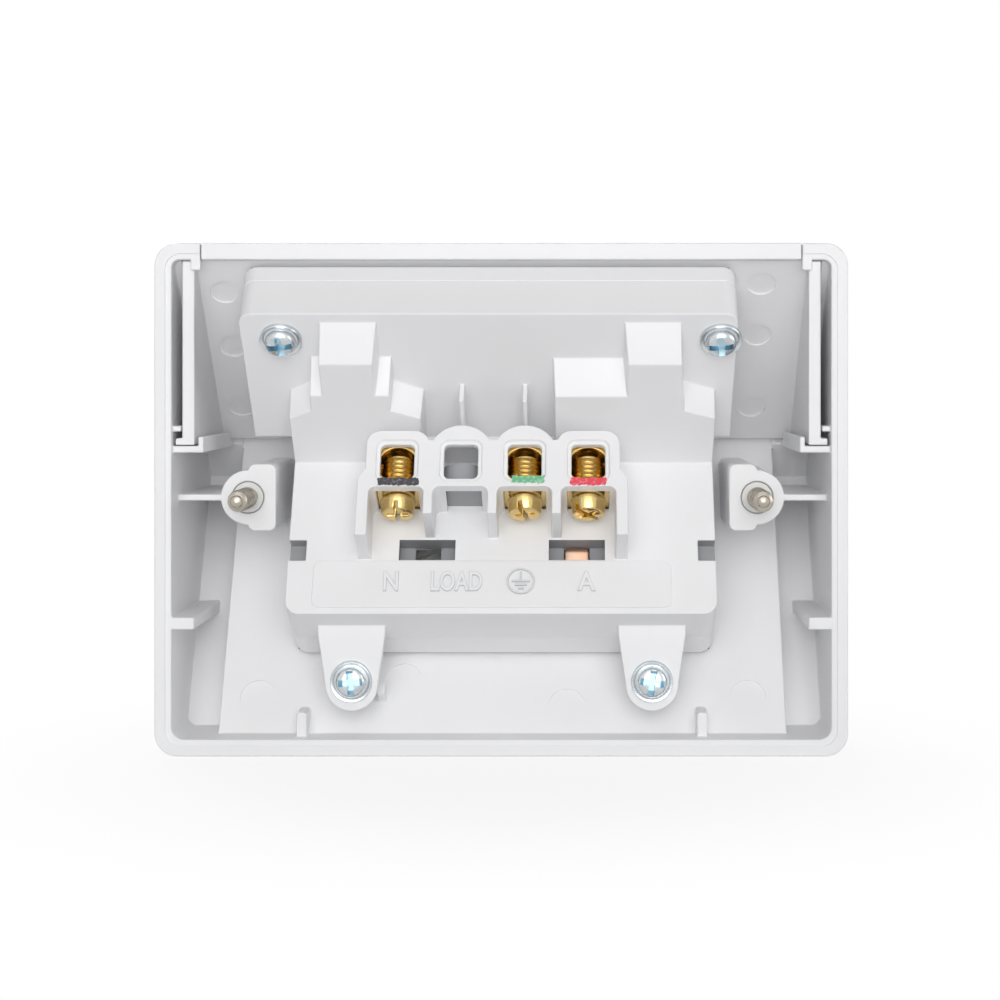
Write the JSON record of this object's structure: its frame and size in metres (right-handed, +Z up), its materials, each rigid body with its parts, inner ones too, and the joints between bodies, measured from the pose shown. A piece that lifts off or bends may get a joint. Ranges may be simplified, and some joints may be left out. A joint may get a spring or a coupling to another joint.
{
  "type": "weatherproof double power outlet",
  "caption": "Wedge-shaped white wall outlet with rocker switches on a sloped hood, sprung flaps over flat-pin sockets on a tilted panel, and a rear cover with tunnel terminals.",
  "frame": {"origin": "midpoint between the wall screws, on the wall plane that the rear rim rests on", "axes": "+Z up as mounted, +Y into the wall, -Y to the front, +X to the right as seen from the front"},
  "size_m": [0.1124, 0.0467, 0.0832],
  "materials": {
    "shell_white": "fine satin",
    "mechanism_white": "satin",
    "rocker_white": "semi gloss",
    "seal_rubber": "matt",
    "terminal_brass": "machined",
    "bar_copper": "rolled strip",
    "zinc_steel": "zinc plated",
    "retainer_nylon": "plain"
  },
  "bodies": {
    "outlet": {"housing": "shell_white", "hood": "shell_white", "socket_body": "mechanism_white", "rear_cover": "mechanism_white", "panel_gasket": "seal_rubber", "hood_gasket": "seal_rubber", "terminal_neutral": "terminal_brass", "terminal_earth": "terminal_brass", "terminal_active": "terminal_brass", "terminal_screws": "terminal_brass", "neutral_bar": "bar_copper", "earth_bar": "bar_copper", "active_bar": "bar_copper", "switched_contact_left": "bar_copper", "switched_contact_right": "bar_copper", "upper_screws": "zinc_steel", "lower_screws": "zinc_steel", "mounting_screws": "zinc_steel", "flap_pins": "zinc_steel", "screw_retainers": "retainer_nylon"},
    "flap_left": {"flap_left": "shell_white", "flap_seal_left": "seal_rubber"},
    "flap_right": {"flap_right": "shell_white", "flap_seal_right": "seal_rubber"},
    "rocker_left": {"rocker_left": "rocker_white", "plunger_left": "rocker_white"},
    "rocker_right": {"rocker_right": "rocker_white", "plunger_right": "rocker_white"},
    "contact_arm_left": {"contact_arm_left": "bar_copper"},
    "contact_arm_right": {"contact_arm_right": "bar_copper"}
  },
  "joints": [
    {"name": "flap_left_hinge", "type": "hinge", "parent": "outlet", "child": "flap_left", "pos_m": [-0.0229, -0.03667, 0.00182], "axis": [-1, 0, 0], "range_deg": [0, 100], "stiffness_Nm_per_rad": 0.004, "springref_deg": -51.57},
    {"name": "rocker_left_hinge", "type": "hinge", "parent": "outlet", "child": "rocker_left", "pos_m": [-0.0245, -0.01295, 0.02473], "axis": [1, 0, 0], "range_deg": [0, 14]},
    {"name": "contact_arm_left_hinge", "type": "hinge", "parent": "outlet", "child": "contact_arm_left", "pos_m": [-0.0245, -0.00719, 0.01917], "axis": [1, 0, 0], "range_deg": [-12, 0]},
    {"name": "flap_right_hinge", "type": "hinge", "parent": "outlet", "child": "flap_right", "pos_m": [0.0229, -0.03667, 0.00182], "axis": [-1, 0, 0], "range_deg": [0, 100], "stiffness_Nm_per_rad": 0.004, "springref_deg": -51.57},
    {"name": "rocker_right_hinge", "type": "hinge", "parent": "outlet", "child": "rocker_right", "pos_m": [0.0245, -0.01295, 0.02473], "axis": [1, 0, 0], "range_deg": [0, 14]},
    {"name": "contact_arm_right_hinge", "type": "hinge", "parent": "outlet", "child": "contact_arm_right", "pos_m": [0.0245, -0.00719, 0.01917], "axis": [1, 0, 0], "range_deg": [-12, 0]}
  ],
  "couplings": [
    {"joint": "contact_arm_left_hinge", "follows": "rocker_left_hinge", "ratio": -0.857},
    {"joint": "contact_arm_right_hinge", "follows": "rocker_right_hinge", "ratio": -0.857}
  ]
}
